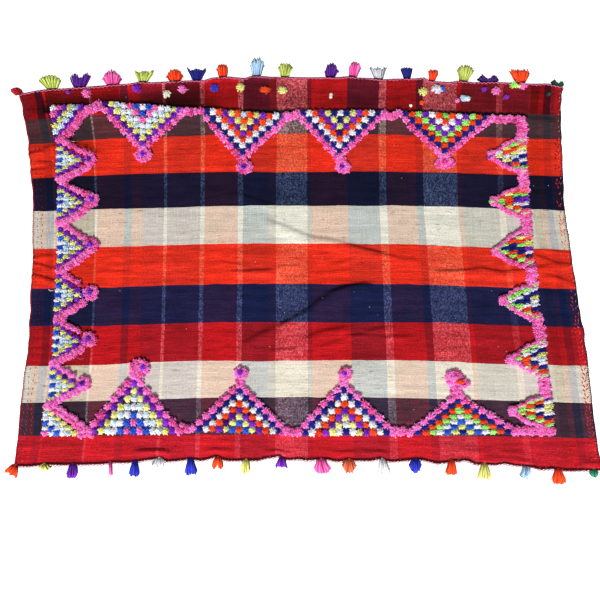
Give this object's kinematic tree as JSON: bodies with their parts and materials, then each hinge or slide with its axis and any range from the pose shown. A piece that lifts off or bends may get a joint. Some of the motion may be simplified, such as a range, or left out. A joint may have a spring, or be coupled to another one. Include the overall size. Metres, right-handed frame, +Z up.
{
  "type": "flat-woven rug with tufted border and tassels",
  "caption": "Plaid flat-woven floor rug with a raised zigzag border of yarn tufts, yarn tassels on its long hems and corners, and small pompoms on one end strip.",
  "frame": {"origin": "centre of the rug's whole plan, tassels included, on the floor it lies on", "axes": "+X along the rug's long side, towards its right end in the picture; +Y across it, towards the hem with the pompoms; +Z up"},
  "size_m": [2.3288, 1.6938, 0.0298],
  "materials": {
    "woven_cloth": "coarse flat weave of wool, plaid of red, orange, navy, cream and brown",
    "tufts": "cut wool tufts, pink with rows of purple, navy, orange, yellow, green and white",
    "yarn_pink": "cut wool yarn",
    "yarn_purple": "cut wool yarn",
    "yarn_navy": "cut wool yarn",
    "yarn_orange": "cut wool yarn",
    "yarn_lime": "cut wool yarn",
    "yarn_sky": "cut wool yarn",
    "yarn_grey": "cut wool yarn",
    "yarn_green": "cut wool yarn"
  },
  "bodies": {
    "root": {"cloth": "woven_cloth", "tufts_top_1": "tufts", "tufts_top_2": "tufts", "tufts_top_3": "tufts", "tufts_top_4": "tufts", "tufts_bottom_1": "tufts", "tufts_bottom_2": "tufts", "tufts_bottom_3": "tufts", "tufts_bottom_4": "tufts", "tufts_left": "tufts", "tufts_right": "tufts", "tassel_lime_1": "yarn_lime", "tassel_purple_1": "yarn_purple", "tassel_pink_1": "yarn_pink", "tassel_olive_1": "yarn_lime", "tassel_orange_1": "yarn_orange", "tassel_navy_1": "yarn_navy", "tassel_orange_2": "yarn_orange", "tassel_sky_1": "yarn_sky", "tassel_lime_2": "yarn_lime", "tassel_purple_2": "yarn_purple", "tassel_pink_2": "yarn_pink", "tassel_grey_1": "yarn_grey", "tassel_navy_2": "yarn_navy", "tassel_orange_3": "yarn_orange", "tassel_lime_3": "yarn_lime", "tassel_purple_3": "yarn_purple", "tassel_scarlet_1": "yarn_orange", "tassel_lemon_1": "yarn_lime", "tassel_purple_4": "yarn_purple", "tassel_pink_3": "yarn_pink", "tassel_blue_1": "yarn_navy", "tassel_white_1": "yarn_grey", "tassel_navy_3": "yarn_navy", "tassel_orange_4": "yarn_orange", "tassel_lime_4": "yarn_lime", "tassel_violet_1": "yarn_purple", "tassel_pink_4": "yarn_pink", "tassel_coral_1": "yarn_orange", "tassel_white_2": "yarn_grey", "tassel_blue_2": "yarn_navy", "tassel_orange_5": "yarn_orange", "tassel_lemon_2": "yarn_lime", "tassel_sky_2": "yarn_sky", "tassel_orange_6": "yarn_orange", "tassel_red_corner": "yarn_orange", "tassel_green_corner": "yarn_green", "tassel_scarlet_corner": "yarn_orange", "tassel_teal_corner": "yarn_green", "pompom_1": "yarn_pink", "pompom_2": "yarn_purple", "pompom_3": "yarn_grey", "pompom_4": "yarn_pink", "pompom_5": "yarn_navy", "pompom_6": "yarn_lime", "pompom_7": "yarn_orange", "pompom_8": "yarn_lime", "pompom_9": "yarn_lime", "pompom_10": "yarn_grey", "pompom_11": "yarn_pink"}
  },
  "joints": []
}
